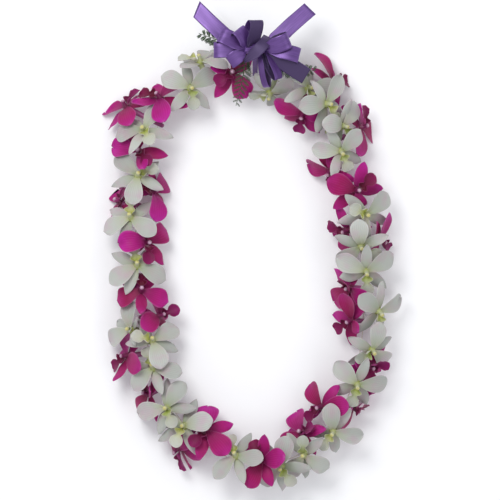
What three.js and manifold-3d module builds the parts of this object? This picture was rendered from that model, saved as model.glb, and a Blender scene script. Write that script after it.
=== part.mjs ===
// A fresh flower lei: white and magenta dendrobium orchids strung side by side on one cotton thread,
// with a purple satin bow and three sprigs of fern at the top. It lies flat on a table.
// Millimetres, Z up. X and Y run right and up in the photograph, which looks straight down.
import * as THREE from "three";
import { mergeVertices } from "three/addons/utils/BufferGeometryUtils.js";
import Module from "manifold-3d";

const wasm = await Module();
wasm.setup();

// Size and place. Places read by eye in the photograph stay in its pixels.
const MM_PER_PX = 1.03;
const MIDDLE_PX = [250, 268];
const SHIFT = [-1.73, -22.58];
const THREAD_Z = 22;

// The loop that the thread follows: half width and half height, how square and how far it leans.
const LOOP = { half: [117.4, 201.9], square: 0.018, lean: 0.055, points: 720 };

// Each white bloom's throat: photo x, photo y, height over the thread in mm, and the way its top
// sepal points in the photograph, in degrees from +X.
const WHITE = [
  [190, 88, 14, 125], [308, 88, 12, 60], [326, 104, 14, 95], [342, 126, 11, 120], [341, 151, 14, 138],
  [366, 214, 14, 0], [361, 246, 13, 170], [366, 271, 14, 90], [378, 311, 12, 90], [372, 350, 13, 0],
  [357, 384, 14, 70], [333, 431, 14, 25], [304, 455, 13, 277], [281, 466, 14, 103], [236, 456, 14, 270],
  [184, 426, 13, 76], [167, 408, 14, 114], [153, 368, 14, 277], [152, 341, 13, -40], [131, 330, 12, 150],
  [137, 266, 14, 254], [131, 218, 13, 270], [138, 176, 14, 200], [144, 130, 14, 110], [200, 62, 5, 60],
  [270, 92, 4, 300],
];
// Each magenta bloom's throat. Most of them look out to the sides, under the white ones.
const MAGENTA = [
  [232, 72, 10], [306, 110, 4], [332, 80, -5], [361, 127, -5], [331, 170, 4], [356, 190, 11],
  [349, 230, 4], [379, 240, -3], [351, 288, 5], [352, 320, 7], [368, 366, 6], [353, 407, -8],
  [322, 407, 11], [303, 434, 3], [262, 461, 12], [206, 431, 13], [180, 449, -8], [149, 394, 2],
  [128, 356, 0], [158, 317, 3], [141, 291, 12], [146, 243, 10], [120, 203, -6], [152, 192, 2],
  [142, 152, 6], [126, 107, -7], [160, 98, 3],
];
// The share of the sky in the way a bloom faces, and how far its throat stays from the thread.
const KINDS = { white: { sky: 0.3, reach: 10 }, magenta: { sky: 0.75, reach: 13 } };
// Every bloom leans this much along the thread, so that neighbours overlap like shingles.
const LEAN = 0.42;
const SIZES = { least: 0.98, spread: 0.12 };
const GOLDEN = { angle: 137.508, share: 0.618034 };

// One orchid. Its parts lie round the throat: angle in the plane of the flower, with the top sepal
// at 90 degrees, length, width, slope at the root and at the tip, cup, twist and height of the root.
const PARTS = [
  { at: 28, long: 31, wide: 22, rise: [13, -30], cup: 0.14, turn: 9, lift: 1.1, form: "petal" },
  { at: 152, long: 31, wide: 22, rise: [13, -30], cup: 0.14, turn: -9, lift: 1.1, form: "petal" },
  { at: 90, long: 29, wide: 12.5, rise: [2, -28], cup: -0.1, turn: 6, lift: -0.7, form: "sepal" },
  { at: -46, long: 29, wide: 13, rise: [-2, -30], cup: -0.1, turn: -10, lift: -0.8, form: "sepal" },
  { at: 226, long: 29, wide: 13, rise: [-2, -30], cup: -0.1, turn: 10, lift: -0.8, form: "sepal" },
  { at: -90, long: 23, wide: 14.5, rise: [34, -16], cup: 0.4, turn: 0, lift: 0, form: "lip" },
];
const ROOT_OUT = 0.6;
const RUFFLE = { height: 0.9, rate: 4.5, step: 2.4 };
// Where the rows of corners lie along each form, and its thickness at the midrib.
const FORMS = {
  petal: { rows: [0.5, 0.84], thick: 1.7 },
  sepal: { rows: [0.42, 0.8], thick: 1.7 },
  lip: { rows: [0.36, 0.8], thick: 1.6 },
};
// Six-sided rings as [distance ahead of the throat, radius]: the column's tip, the front of the
// throat and its back. Then the cut end of the neck, this far past the thread.
const NECK = { tip: [9, 1.5], front: [3.6, 4.6], throat: [-2, 5.4], end: 2.6, past: 5.5, gap: 12.5 };
const THREAD = { radius: 0.6, steps: 80, bore: 1.45, knotAt: [244, 72], knot: 1.8, opening: 0.5 };

// Parts stay this clear of their neighbours, measured between points on their middle surfaces.
const CLEAR = 3;
const NEAR = 46;
const PROBES = { along: 9, across: 7, from: 0.14 };
const KEEP = { thread: 0, neck: 2.4, tie: 3.5, stem: 0.5, step: 2 };
const ROUNDS = 3;
// Below the first height the table presses petals flat, toward the second.
const PRESS = { from: 8, to: -2 };
// The flowers stay under the bow in this ellipse: photo place, half sizes in mm, and height.
const ROOF = { at: [256, 58], half: [58, 42], z: 47 };

// The bow: its waist, the satin strip that ties it to the thread, and its ribbon.
const WAIST = { at: [255, 50, 62], half: 11, radius: 5.4 };
const TIE = { wide: 5.2, thick: 0.7, gap: 0.45, slack: 0.6 };
const RIBBON = { wide: 17, thick: 0.7, pinch: 0.32, part: 0.6, loopStations: 8, tailStations: 6 };
// Each loop: its far end, how far it opens, how its width lies (0 flat, 90 on edge), its share of
// the whole width, and where along the waist it starts.
const LOOPS = [
  { to: [224, 36, 70], open: 13, lay: 14, share: 1, from: -9 },
  { to: [228, 61, 63], open: 10, lay: -14, share: 0.95, from: -9.5 },
  { to: [247, 21, 75], open: 11, lay: 66, share: 1, from: -9 },
  { to: [288, 35, 72], open: 12, lay: 64, share: 0.95, from: 7.5 },
  { to: [299, 55, 66], open: 11, lay: -60, share: 0.9, from: 9.5 },
  { to: [305, 78, 59], open: 7, lay: 8, share: 1, from: 9 },
  { to: [250, 88, 58], open: 6, lay: 30, share: 0.5, from: -7.5 },
  { to: [272, 87, 59], open: 6, lay: -34, share: 0.5, from: 7 },
];
const TAILS = [
  { route: [[246, 49, 58.6], [233, 38, 57], [216, 22, 55], [196.4, 9.8, 52]], lay: 6, slant: -0.25 },
  { route: [[263, 47, 58.6], [275, 37, 57], [292, 21, 55], [310, 9.4, 52]], lay: -8, slant: 0.1 },
];
// Each sprig of fern: its stem's route and the length of its longest leaflet.
const FERNS = {
  fern_left: { route: [[265, 55.5, 55.35], [247, 54, 55.35], [224, 43, 52.5], [199, 34, 51]], leaf: 11 },
  fern_low: { route: [[264, 56, 53.5], [248, 58.5, 53.2], [242, 82, 50.5], [236, 106, 49]], leaf: 10 },
  fern_right: { route: [[246, 57.5, 51.3], [266, 60, 51.3], [290, 71, 49.6], [316, 71, 49.5]], leaf: 11 },
};
const STEM = { radius: 0.8, at: [0, 0.22, 0.42, 0.62, 0.81, 1], taper: 0.5 };
const LEAFLET = { pairs: 5, from: 0.3, to: 0.94, wide: 0.19, thick: 0.9 };

const rad = (deg) => (deg * Math.PI) / 180;
const vec = (x, y, z) => new THREE.Vector3(x, y, z);
// A point moved by some amounts along some directions, given in pairs.
const moved = (p, ...pairs) => pairs.reduce((q, [way, far]) => q.addScaledVector(way, far), p.clone());
const square = (v, w) => moved(v, [w, -v.dot(w)]).normalize();
const placed = (px, py, z) =>
  vec((px - MIDDLE_PX[0]) * MM_PER_PX + SHIFT[0], (MIDDLE_PX[1] - py) * MM_PER_PX + SHIFT[1], z);

// The thread's line, clockwise from the top, with its length so far at each point.
const loop = [];
const lengths = [0];
for (let i = 0; i <= LOOP.points; i++) {
  const a = Math.PI / 2 - (2 * Math.PI * i) / LOOP.points;
  const y = (LOOP.half[1] * (Math.sin(a) + LOOP.square * Math.sin(3 * a))) / (1 - LOOP.square);
  const x = (LOOP.half[0] * (Math.cos(a) - LOOP.square * Math.cos(3 * a))) / (1 - LOOP.square);
  loop.push(vec(x - LOOP.lean * y + SHIFT[0], y + SHIFT[1], THREAD_Z));
  if (i > 0) lengths.push(lengths[i - 1] + loop[i].distanceTo(loop[i - 1]));
}
const ROUND = lengths[LOOP.points];
function alongLoop(s) {
  const want = s - ROUND * Math.floor(s / ROUND);
  let i = 1;
  while (i < LOOP.points && lengths[i] < want) i++;
  const share = (want - lengths[i - 1]) / (lengths[i] - lengths[i - 1]);
  const at = loop[i - 1].clone().lerp(loop[i], share);
  return { at, tangent: loop[i].clone().sub(loop[i - 1]).normalize() };
}
function nearestOnLoop(p) {
  const gaps = loop.map((q) => Math.hypot(p.x - q.x, p.y - q.y));
  return lengths[gaps.indexOf(Math.min(...gaps))];
}

// Half the width of a part, as a share of its whole half width, at t along it.
function outline(form, t) {
  const oval = (x, power) => Math.pow(Math.max(0, 1 - (2 * x - 1) ** 2), power);
  if (form === "petal") return oval(Math.pow(t, 1.7), 0.62) + 0.14 * (1 - t) ** 3;
  if (form === "sepal") return oval(Math.pow(t, 1.05), 0.75) + 0.2 * (1 - t) ** 3;
  const sides = 0.8 * Math.exp(-(((t - 0.33) / 0.12) ** 2));
  const middle = 0.92 * oval(Math.min(1, Math.max(0, (t - 0.46) / 0.54)), 0.6);
  return Math.max(sides, middle, 0.24 * (1 - t));
}

// The table presses everything under a height toward a lower one, and nothing passes anything else.
function pressed(p) {
  if (p.z >= PRESS.from) return p;
  const room = PRESS.from - PRESS.to;
  return vec(p.x, p.y, PRESS.to + room * Math.exp((p.z - PRESS.from) / room));
}

// A point on a part's middle surface: t along it, s from edge to edge. Its midrib is an arc.
function partPoint(bloom, part, pose, t, s) {
  const size = bloom.size * pose.scale;
  const from = rad(part.rise[0] + pose.lift);
  const whole = rad(part.rise[1] + pose.bend) - from;
  const bend = Math.abs(whole) < 0.01 ? 0.01 : whole;
  const slope = from + bend * t;
  const out = ROOT_OUT + (part.long * size * (Math.sin(slope) - Math.sin(from))) / bend;
  const up = part.lift - (part.long * size * (Math.cos(slope) - Math.cos(from))) / bend;
  const half = (part.wide / 2) * size * outline(part.form, t) * s;
  const turn = rad(part.turn) * t;
  const wave = part.form === "lip" ? 0 : Math.sin(RUFFLE.rate * t + bloom.phase) * s * s * s * t;
  const side = half * Math.cos(turn);
  const over = half * Math.sin(turn) + part.cup * half * s + RUFFLE.height * wave;
  const far = out - Math.sin(slope) * over;
  const at = rad(part.at + pose.swing);
  const u = far * Math.cos(at) - side * Math.sin(at);
  const v = far * Math.sin(at) + side * Math.cos(at);
  return pressed(moved(bloom.throat, [bloom.u, u], [bloom.v, v], [bloom.w, up + Math.cos(slope) * over]));
}

// The blooms. w is the way one faces, v its top sepal and u its right.
const blooms = [
  ...WHITE.map((row) => ({ kind: "white", row })),
  ...MAGENTA.map((row) => ({ kind: "magenta", row })),
];
blooms.forEach((bloom, i) => {
  const [px, py, height, roll] = bloom.row;
  const { sky, reach } = KINDS[bloom.kind];
  const throat = placed(px, py, THREAD_Z + height);
  const s = nearestOnLoop(throat);
  const { at, tangent } = alongLoop(s);
  const off = throat.clone().sub(at);
  const away = moved(off, [tangent, -off.dot(tangent)]);
  const out = away.clone().normalize();
  if (away.length() < reach) throat.addScaledVector(out, reach - away.length());
  const w = moved(out, [tangent, LEAN], [vec(0, 0, 1), sky]).normalize();
  const v = square(roll === undefined ? tangent : vec(Math.cos(rad(roll)), Math.sin(rad(roll)), 0), w);
  if (roll === undefined) v.applyAxisAngle(w, rad(GOLDEN.angle * i));
  // The neck has six faces, and the thread goes through the middle of two of them.
  const drift = Math.atan2(tangent.dot(v), tangent.dot(v.clone().cross(w))) / (Math.PI / 3);
  v.applyAxisAngle(w, (drift - Math.round(drift - 0.5) - 0.5) * (Math.PI / 3));
  const turns = GOLDEN.share * (i + 1);
  const size = SIZES.least + SIZES.spread * (turns - Math.floor(turns));
  Object.assign(bloom, { rank: i, throat, s, u: v.clone().cross(w), v, w, size, phase: RUFFLE.step * i });
});
// Necks that would crowd the thread slide apart along it.
const order = [...blooms].sort((a, b) => a.s - b.s);
for (let pass = 0; pass < 60; pass++)
  order.forEach((a, i) => {
    const b = order[(i + 1) % order.length];
    const gap = b.s + (i + 1 === order.length ? ROUND : 0) - a.s;
    const push = Math.max(0, NECK.gap - gap) / 2;
    a.s -= push;
    b.s += push;
  });
blooms.forEach((bloom) => {
  bloom.pierce = alongLoop(bloom.s);
  const back = bloom.pierce.at.clone().sub(bloom.throat).normalize();
  bloom.end = moved(bloom.pierce.at, [back, NECK.past]);
  bloom.tip = moved(bloom.throat, [bloom.w, NECK.tip[0]]);
});

// A ribbon's middle line as stations, each with its place, the way its width runs and that width.
function across(along, lay) {
  const flat = vec(0, 0, 1).cross(along).normalize();
  return moved(vec(0, 0, 0), [flat, Math.cos(rad(lay))], [along.clone().cross(flat), Math.sin(rad(lay))]);
}
function loopStations(one, count) {
  const start = moved(placed(...WAIST.at), [vec(1, 0, 0), one.from]);
  const reach = placed(...one.to).sub(start);
  const along = reach.clone().normalize();
  const width = across(along, one.lay);
  const open = along.clone().cross(width);
  return Array.from({ length: count }, (_, i) => {
    const t = 0.03 + (0.94 * i) / (count - 1);
    const round = Math.sin(Math.PI * t);
    const bulge = (one.open / 2) * Math.sin(2 * Math.PI * t) * Math.pow(round, 0.6);
    const apart = RIBBON.part * Math.cos(Math.PI * t);
    const at = moved(start, [along, reach.length() * round * round], [open, bulge + apart]);
    const spread = Math.min(1, RIBBON.pinch + 1.5 * round * round);
    return { at, width, wide: RIBBON.wide * one.share * spread, slant: 0 };
  });
}
const curveThrough = (points) => new THREE.CatmullRomCurve3(points, false, "centripetal");
function tailStations(one, count) {
  const curve = curveThrough(one.route.map((p) => placed(...p)));
  return Array.from({ length: count }, (_, i) => {
    const t = i / (count - 1);
    const spread = Math.min(1, RIBBON.pinch + 2.2 * t);
    const width = across(curve.getTangent(t), one.lay);
    return { at: curve.getPoint(t), width, wide: RIBBON.wide * 0.97 * spread, slant: t < 1 ? 0 : one.slant };
  });
}
const ribbons = [
  ...LOOPS.map((one) => loopStations(one, RIBBON.loopStations)),
  ...TAILS.map((one) => tailStations(one, RIBBON.tailStations)),
];
const waist = placed(...WAIST.at);
const nearerWaist = (a, p) => (Math.abs(p.x - waist.x) < Math.abs(a.x - waist.x) ? p : a);
const tieFoot = loop.filter((p) => p.y > 0).reduce(nearerWaist);

// A sprig's stem, and its leaflets in pairs that get shorter toward the tip.
const ferns = Object.entries(FERNS).map(([name, one]) => {
  const curve = curveThrough(one.route.map((p) => placed(...p)));
  const stem = STEM.at.map((t) => curve.getPoint(t));
  const leaves = [];
  for (let i = 0; i < LEAFLET.pairs; i++)
    for (const side of [-1, 1]) {
      const t = LEAFLET.from + ((LEAFLET.to - LEAFLET.from) * i) / (LEAFLET.pairs - 1);
      const k = STEM.at.filter((a) => a <= t + 0.02 * side).length - 1;
      const share = (t + 0.02 * side - STEM.at[k]) / (STEM.at[k + 1] - STEM.at[k]);
      const along = curve.getTangent(t);
      const sideways = vec(0, 0, 1).cross(along).normalize();
      const out = moved(sideways.multiplyScalar(side), [along, 0.75], [vec(0, 0, 1), 0.12]).normalize();
      const long = one.leaf * Math.pow(Math.sin(Math.PI * (0.24 + 0.68 * t)), 0.7);
      leaves.push({ from: stem[k].clone().lerp(stem[k + 1], share), out, long, along });
    }
  return { name, curve, stem, leaves };
});

// What the blooms' parts keep clear of, as points with a radius and the bloom that they belong to.
const kept = [];
const keep = (p, radius, owner) => kept.push([p.x, p.y, p.z, radius, owner]);
for (let s = 0; s < ROUND; s += KEEP.step) keep(alongLoop(s).at, KEEP.thread, -1);
for (const q of ribbons.flat())
  for (const k of [-0.5, 0, 0.5]) keep(moved(q.at, [q.width, k * q.wide]), 0, -1);
for (let i = 0; i <= 6; i++) keep(tieFoot.clone().lerp(waist, i / 6), KEEP.tie, -1);
for (const fern of ferns) {
  for (let i = 0; i <= 20; i++) keep(fern.curve.getPoint(i / 20), KEEP.stem, -1);
  for (const leaf of fern.leaves)
    for (const k of [0.5, 1]) keep(moved(leaf.from, [leaf.out, k * leaf.long]), 0, -1);
}
for (const b of blooms)
  for (let i = 0; i <= 10; i++) keep(b.tip.clone().lerp(b.end, i / 10), KEEP.neck, b.rank);

// The poses that a part can take, the calmest first: bent more, raised, swung aside, or smaller.
const POSES = [];
for (const scale of [1, 0.86, 0.72, 0.6])
  for (const bend of [0, 14, -14, 28, -28, 42, -42, 60, -60])
    for (const lift of [0, 12, -12, 24])
      for (const swing of [0, 9, -9, 18, -18, 26, -26]) {
        const effort = Math.abs(bend) / 14 + Math.abs(lift + 0.1) / 10 + Math.abs(swing + 0.1) / 9;
        POSES.push({ scale, bend, lift, swing, cost: effort + (1 - scale) * 30 });
      }
POSES.sort((a, b) => a.cost - b.cost);

function probes(bloom, part, pose) {
  const points = [];
  for (let i = 0; i < PROBES.along; i++)
    for (let j = 0; j < PROBES.across; j++) {
      const t = PROBES.from + ((1 - PROBES.from) * i) / (PROBES.along - 1);
      points.push(partPoint(bloom, part, pose, t, (2 * j) / (PROBES.across - 1) - 1));
    }
  return points;
}
// The least room round some points. It may stop early once that is under what is enough.
const roof = placed(...ROOF.at, ROOF.z);
function roomRound(points, near, enough) {
  let least = Infinity;
  for (const p of points) {
    const under = ((p.x - roof.x) / ROOF.half[0]) ** 2 + ((p.y - roof.y) / ROOF.half[1]) ** 2 < 1;
    if (under) least = Math.min(least, CLEAR + roof.z - p.z);
    for (const q of near) {
      const d = Math.sqrt((p.x - q[0]) ** 2 + (p.y - q[1]) ** 2 + (p.z - q[2]) ** 2) - q[3];
      if (d < least) least = d;
    }
    if (least < enough) break;
  }
  return least;
}
// Each bloom in turn takes the calmest poses that keep it clear. Later rounds redo what is tight.
const held = blooms.map(() => []);
for (let turn = 0; turn < ROUNDS; turn++)
  for (const bloom of blooms) {
    const { x, y, z } = bloom.throat;
    const others = held.filter((_, rank) => rank !== bloom.rank).flat(1).flatMap((part) => part.points);
    const near = [...kept.filter((q) => q[4] !== bloom.rank), ...others].filter(
      (q) => (q[0] - x) ** 2 + (q[1] - y) ** 2 + (q[2] - z) ** 2 < NEAR * NEAR,
    );
    PARTS.forEach((part, k) => {
      const old = held[bloom.rank][k];
      if (old && roomRound(probes(bloom, part, old.pose), near, 0) >= CLEAR) return;
      let best = null;
      let most = -Infinity;
      for (const pose of POSES) {
        const free = roomRound(probes(bloom, part, pose), near, most);
        if (free > most) [most, best] = [free, pose];
        if (most >= CLEAR) break;
      }
      const points = probes(bloom, part, best).map((p) => [p.x, p.y, p.z, 0]);
      held[bloom.rank][k] = { pose: best, points };
    });
  }

// A closed solid from corners and triangles.
function closed(places, triangles) {
  const vertProperties = new Float32Array(places);
  const triVerts = new Uint32Array(triangles);
  return new wasm.Manifold(new wasm.Mesh({ numProp: 3, vertProperties, triVerts }));
}
const solid = (corners, faces) => closed(corners.flatMap((p) => [p.x, p.y, p.z]), faces.flat());
function shapeSolid(geometry) {
  geometry.deleteAttribute("normal").deleteAttribute("uv");
  const { attributes, index } = mergeVertices(geometry, 1e-4);
  return closed(attributes.position.array, index.array);
}

// A thin blade with a midrib and sharp edges: a root point, rows of corners and a tip point.
function bladeSolid(root, rows, tip, thick) {
  const corners = [];
  rows.forEach((row, i) => {
    const before = i > 0 ? rows[i - 1].mid : root;
    const after = i + 1 < rows.length ? rows[i + 1].mid : tip;
    const n = after.clone().sub(before).cross(row.right.clone().sub(row.left)).normalize();
    corners.push(row.left, moved(row.mid, [n, thick / 2]), row.right, moved(row.mid, [n, -thick / 2]));
  });
  const [last, start, end] = [corners.length - 4, corners.length, corners.length + 1];
  corners.push(root, tip);
  const faces = [];
  for (let k = 0; k < 4; k++) faces.push([start, k, (k + 1) % 4], [last + ((k + 1) % 4), last + k, end]);
  for (let e = 0; e < last; e += 4) {
    const [l, m, r, b, L, M, R, B] = [0, 1, 2, 3, 4, 5, 6, 7].map((k) => e + k);
    faces.push([l, L, M], [l, M, m], [m, M, R], [m, R, r], [l, B, L], [l, b, B], [b, R, B], [b, r, R]);
  }
  return solid(corners, faces);
}

// A loft through rings of as many corners, with flat ends.
function loft(rings) {
  const n = rings[0].length;
  const faces = [];
  for (let i = 0; i + 1 < rings.length; i++)
    for (let k = 0; k < n; k++) {
      const [a, b] = [i * n + k, i * n + ((k + 1) % n)];
      faces.push([a, b, b + n], [a, b + n, a + n]);
    }
  const last = (rings.length - 1) * n;
  for (let k = 1; k + 1 < n; k++) faces.push([0, k + 1, k], [last, last + k, last + k + 1]);
  return solid(rings.flat(), faces);
}
function ring(centre, axis, side, radius, n) {
  const a = square(side, axis);
  const b = axis.clone().cross(a);
  const turn = (k) => (2 * Math.PI * k) / n;
  const corner = (_, k) => moved(centre, [a, radius * Math.cos(turn(k))], [b, radius * Math.sin(turn(k))]);
  return Array.from({ length: n }, corner);
}

// A bloom: the column, throat and neck in one, with the sepals, petals and lip sunk into it, a plain
// hole for the thread, and its underside flat where it lies on the table.
function bloomSolid(bloom) {
  const backward = bloom.w.clone().negate();
  const ahead = ([far, radius]) => ring(moved(bloom.throat, [bloom.w, far]), backward, bloom.u, radius, 6);
  const end = ring(bloom.end, backward, bloom.u, NECK.end, 6);
  let body = loft([ahead(NECK.tip), ahead(NECK.front), ahead(NECK.throat), end]);
  PARTS.forEach((part, i) => {
    const at = (t, s) => partPoint(bloom, part, held[bloom.rank][i].pose, t, s);
    const { rows, thick } = FORMS[part.form];
    const corners = rows.map((t) => ({ left: at(t, -1), mid: at(t, 0), right: at(t, 1) }));
    body = body.add(bladeSolid(at(0, 0), corners, at(1, 0), thick));
  });
  if (body.boundingBox().min[2] < 0) {
    const under = new THREE.BoxGeometry(100, 100, 20).translate(bloom.throat.x, bloom.throat.y, -10);
    body = body.subtract(shapeSolid(under));
  }
  const { at, tangent } = bloom.pierce;
  const mouth = (far) => ring(moved(at, [tangent, far]), tangent, vec(0, 0, 1), THREAD.bore, 4);
  return body.subtract(loft([mouth(-9), mouth(9)]));
}

// The thread runs round the loop from its knot and back into it.
function threadSolid() {
  const knotAt = nearestOnLoop(placed(...THREAD.knotAt, THREAD_Z));
  const long = ROUND - THREAD.opening;
  const point = (_, i) => alongLoop(knotAt + THREAD.opening / 2 + (long * i) / THREAD.steps).at;
  const path = curveThrough(Array.from({ length: THREAD.steps + 1 }, point));
  const r = THREAD.radius;
  const section = new THREE.Shape([[r, 0], [0, r], [-r, 0], [0, -r]].map((p) => new THREE.Vector2(...p)));
  const settings = { steps: THREAD.steps, curveSegments: 1, extrudePath: path };
  const knot = new THREE.IcosahedronGeometry(THREAD.knot, 0).translate(...alongLoop(knotAt).at.toArray());
  return shapeSolid(new THREE.ExtrudeGeometry(section, settings)).add(shapeSolid(knot));
}

// A flat ribbon through its stations, split into triangles alike on both faces.
function ribbonSolid(stations) {
  const corners = [];
  stations.forEach((q, i) => {
    const next = stations[Math.min(i + 1, stations.length - 1)].at;
    const along = next.clone().sub(stations[Math.max(i - 1, 0)].at).normalize();
    const n = q.width.clone().cross(along).normalize();
    const cut = 2 * q.slant * q.wide;
    const corner = (k, side) => moved(q.at, [q.width, k * q.wide], [along, k * cut], [n, side]);
    const up = RIBBON.thick / 2;
    corners.push(corner(-0.5, -up), corner(0.5, -up), corner(0.5, up), corner(-0.5, up));
  });
  const z = corners.length - 4;
  const faces = [[0, 1, 2], [0, 2, 3], [z, z + 2, z + 1], [z, z + 3, z + 2]];
  for (let e = 0; e < z; e += 4) {
    const [a, b, c, d, A, B, C, D] = [0, 1, 2, 3, 4, 5, 6, 7].map((k) => e + k);
    faces.push([a, B, b], [a, A, B], [d, c, C], [d, C, D], [b, B, C], [b, C, c], [a, d, D], [a, D, A]);
  }
  return solid(corners, faces);
}
// The bow is one ribbon: its loops and tails leave a gathered waist.
function bowSolid() {
  const end = (x) => ring(moved(waist, [vec(1, 0, 0), x]), vec(1, 0, 0), vec(0, 0, 1), WAIST.radius, 6);
  const core = loft([end(-WAIST.half), end(WAIST.half)]);
  return ribbons.reduce((body, stations) => body.add(ribbonSolid(stations)), core);
}
// The tie is a closed belt round the waist above and the thread below.
function tieSolid() {
  const axis = vec(1, 0, 0);
  const up = waist.clone().sub(tieFoot).normalize();
  const side = axis.clone().cross(up);
  const belt = [];
  const arc = (centre, radius, from, to, n) => {
    for (let i = 0; i <= n; i++) {
      const a = rad(from + ((to - from) * i) / n);
      belt.push(moved(centre, [side, radius * Math.sin(a)], [up, radius * Math.cos(a)]));
    }
  };
  arc(waist, WAIST.radius + TIE.gap + TIE.thick / 2, -96, 96, 8);
  arc(tieFoot, THREAD.radius + TIE.gap + TIE.slack + TIE.thick / 2, 100, 260, 4);
  const count = belt.length;
  const rings = belt.map((p, i) => {
    const along = belt[(i + 1) % count].clone().sub(belt[(i + count - 1) % count]).normalize();
    const n = along.cross(axis).multiplyScalar(TIE.thick / 2);
    const corner = (k, m) => moved(p, [axis, (k * TIE.wide) / 2], [n, m]);
    return [corner(-1, -1), corner(1, -1), corner(1, 1), corner(-1, 1)];
  });
  const faces = [];
  for (let i = 0; i < count; i++)
    for (let k = 0; k < 4; k++) {
      const next = 4 * ((i + 1) % count);
      const [a, b, c, d] = [4 * i + k, 4 * i + ((k + 1) % 4), next + k, next + ((k + 1) % 4)];
      faces.push([a, b, d], [a, d, c]);
    }
  return solid(rings.flat(), faces);
}

// A sprig: a four-sided stem with thin leaflets sunk into it.
function fernSolid(fern) {
  const girth = (t) => STEM.radius * (1 - STEM.taper * t);
  const stem = STEM.at.map((t, i) => ring(fern.stem[i], fern.curve.getTangent(t), vec(0, 0, 1), girth(t), 4));
  return fern.leaves.reduce((body, leaf) => {
    const side = square(leaf.along, leaf.out).multiplyScalar(LEAFLET.wide * leaf.long);
    const mid = moved(leaf.from, [leaf.out, 0.45 * leaf.long]);
    const row = { left: mid.clone().sub(side), mid, right: mid.clone().add(side) };
    return body.add(bladeSolid(leaf.from, [row], moved(leaf.from, [leaf.out, leaf.long]), LEAFLET.thick));
  }, loft(stem));
}

// The part: every solid as a named mesh with its own plain material.
const FLOWERS = { white: "#d9ddd2", magenta: "#a8246f" };
const COLOURS = { ...FLOWERS, thread: "#e8e2d2", ribbon: "#6a3fa0", fern: "#2f4a2a" };
const lei = new THREE.Group();
lei.name = "fresh_flower_lei";
function add(name, body, color, roughness) {
  const { vertProperties, triVerts } = body.getMesh();
  const geometry = new THREE.BufferGeometry();
  geometry.setAttribute("position", new THREE.BufferAttribute(new Float32Array(vertProperties), 3));
  geometry.setIndex(new THREE.BufferAttribute(new Uint32Array(triVerts), 1));
  geometry.computeVertexNormals();
  const mesh = new THREE.Mesh(geometry, new THREE.MeshStandardMaterial({ color, roughness, metalness: 0 }));
  mesh.name = name;
  lei.add(mesh);
}
add("thread", threadSolid(), COLOURS.thread, 0.9);
const counts = { white: 0, magenta: 0 };
for (const bloom of order) {
  counts[bloom.kind] += 1;
  const number = String(counts[bloom.kind]).padStart(2, "0");
  add("bloom_" + bloom.kind + "_" + number, bloomSolid(bloom), COLOURS[bloom.kind], 0.6);
}
add("ribbon_bow", bowSolid(), COLOURS.ribbon, 0.35);
add("ribbon_tie", tieSolid(), COLOURS.ribbon, 0.35);
for (const fern of ferns) add(fern.name, fernSolid(fern), COLOURS.fern, 0.8);

export default lei;
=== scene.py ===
import math

import bpy
import numpy as np
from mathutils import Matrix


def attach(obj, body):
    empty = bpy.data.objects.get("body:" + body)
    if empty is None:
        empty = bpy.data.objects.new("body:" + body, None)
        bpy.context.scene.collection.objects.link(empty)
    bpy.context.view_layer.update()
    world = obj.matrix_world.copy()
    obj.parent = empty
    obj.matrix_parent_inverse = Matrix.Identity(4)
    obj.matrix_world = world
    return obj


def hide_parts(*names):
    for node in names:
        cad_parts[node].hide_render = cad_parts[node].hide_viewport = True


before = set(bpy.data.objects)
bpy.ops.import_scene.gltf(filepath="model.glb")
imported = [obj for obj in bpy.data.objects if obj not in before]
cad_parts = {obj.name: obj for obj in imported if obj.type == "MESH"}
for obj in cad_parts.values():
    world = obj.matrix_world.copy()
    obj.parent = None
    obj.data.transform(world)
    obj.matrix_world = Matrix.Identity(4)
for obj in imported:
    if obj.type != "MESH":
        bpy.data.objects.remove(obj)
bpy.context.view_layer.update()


# Camera
# It hangs high over the middle of the photograph and looks straight down, so that a pixel is 1.03 mm
# at the height of the flowers and stays nearly that at the top of the bow.
MM_PER_PX = 1.03
# This pixel lies at SHIFT, in mm, in the frame, whose origin is under the middle of the solids' box.
MIDDLE_PX = (250, 268)
SHIFT = (-1.73, -22.58)
PHOTO_PX = 500
CAMERA_UP = 6000
FLOWERS_UP = 35


def vec(x, y, z):
    return np.array([x, y, z], float)


def placed(px, py, z):
    return vec((px - MIDDLE_PX[0]) * MM_PER_PX + SHIFT[0], (MIDDLE_PX[1] - py) * MM_PER_PX + SHIFT[1], z)


def shown(name, data):
    made = bpy.data.objects.new(name, data)
    scene.collection.objects.link(made)
    return made


scene = bpy.context.scene
lens = bpy.data.cameras.new("camera")
lens.sensor_width = 36
lens.lens = lens.sensor_width * (CAMERA_UP - FLOWERS_UP) / (PHOTO_PX * MM_PER_PX)
lens.clip_end = 100
camera = shown("camera", lens)
camera.location = placed(PHOTO_PX / 2, PHOTO_PX / 2, CAMERA_UP) / 1000
scene.camera = camera
scene.view_settings.view_transform = "Standard"


# Light and floor
# A bright, even studio: white air all round, a broad soft light above on the left, and a weaker one
# on the right, over a plain white table.
AIR_STRENGTH, FLOOR_HALF = 0.76, 6
# Each light: where it hangs in metres, its size and its power.
LIGHTS = {"key light": ((-0.5, 0.7, 1.4), 0.7, 13.5), "fill light": ((0.9, -0.5, 1.2), 0.8, 3.0)}


def linear(text):
    channels = [int(text[i : i + 2], 16) / 255 for i in (1, 3, 5)]
    return [c / 12.92 if c <= 0.04045 else ((c + 0.055) / 1.055) ** 2.4 for c in channels] + [1]


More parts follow.
